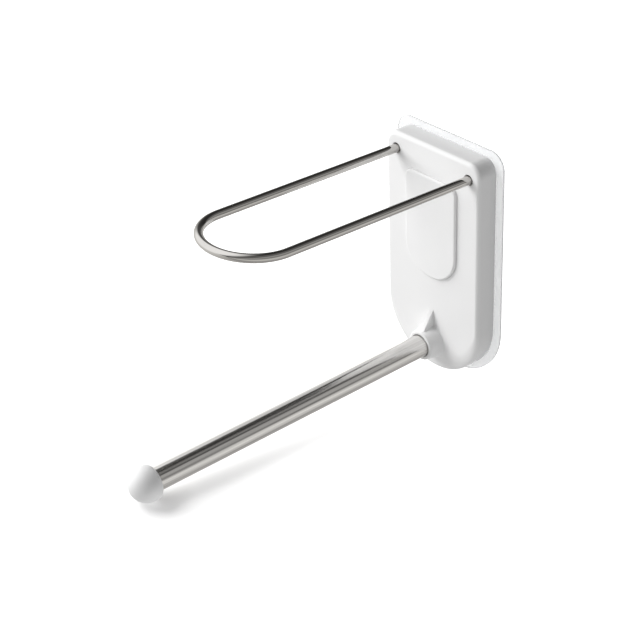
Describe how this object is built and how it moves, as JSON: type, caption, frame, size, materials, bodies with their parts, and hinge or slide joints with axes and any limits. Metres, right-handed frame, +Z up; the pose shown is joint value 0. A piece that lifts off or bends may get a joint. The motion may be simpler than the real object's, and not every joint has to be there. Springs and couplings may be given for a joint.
{
  "type": "paper towel holder",
  "caption": "Wall holder for a kitchen paper roll: a round steel tube with a ball end below and a long wire towel loop above, both standing out of a white plate on a clear adhesive sheet.",
  "frame": {"origin": "centre of the flat adhesive face that goes on the wall", "axes": "+Y into the wall, -Y out into the room along the roll tube, +X to the right as seen from the room, +Z up"},
  "size_m": [0.0996, 0.2764, 0.176],
  "materials": {
    "gel": "clear tacky gel",
    "clear_sheet": "clear, smooth",
    "foam": "closed-cell foam tape",
    "mount_plastic": "moulded, plain",
    "white_plastic": "moulded, satin",
    "cover_plastic": "moulded, satin",
    "cap_plastic": "moulded, soft satin",
    "zinc_plate": "zinc plated sheet",
    "fastener_steel": "zinc plated",
    "bright_wire": "polished stainless wire",
    "tube_steel": "polished stainless tube",
    "nylon": "natural nylon",
    "black_rubber": "matt"
  },
  "bodies": {
    "wall_mount": {"gel_pad": "gel", "clear_sheet": "clear_sheet", "bond_pad": "foam", "mount_plate": "mount_plastic", "hook_stud_1": "zinc_plate", "hook_stud_2": "zinc_plate", "hook_stud_3": "zinc_plate", "hook_stud_4": "zinc_plate"},
    "holder": {"housing": "white_plastic", "front_cover": "cover_plastic", "cover_tape": "foam", "chassis_plate": "zinc_plate", "chassis_screw_1": "fastener_steel", "chassis_screw_2": "fastener_steel", "chassis_screw_3": "fastener_steel", "chassis_screw_4": "fastener_steel", "chassis_screw_5": "fastener_steel", "chassis_screw_6": "fastener_steel", "wire_loop": "bright_wire", "wire_bush_1": "nylon", "wire_bush_2": "nylon", "wire_washer_1": "fastener_steel", "wire_washer_2": "fastener_steel", "wire_lock_washer_1": "fastener_steel", "wire_lock_washer_2": "fastener_steel", "wire_screw_1": "fastener_steel", "wire_screw_2": "fastener_steel", "tube": "tube_steel", "tube_plug": "fastener_steel", "tube_washer": "fastener_steel", "tube_lock_washer": "fastener_steel", "tube_screw": "fastener_steel"},
    "cap": {"end_cap": "cap_plastic", "cap_ring": "black_rubber"}
  },
  "joints": [
    {"name": "mount_slide", "type": "slide", "parent": "wall_mount", "child": "holder", "axis": [0, 0, 1], "range_m": [0, 0.009]},
    {"name": "cap_pull", "type": "slide", "parent": "holder", "child": "cap", "axis": [0, -1, 0], "range_m": [0, 0.016]}
  ]
}
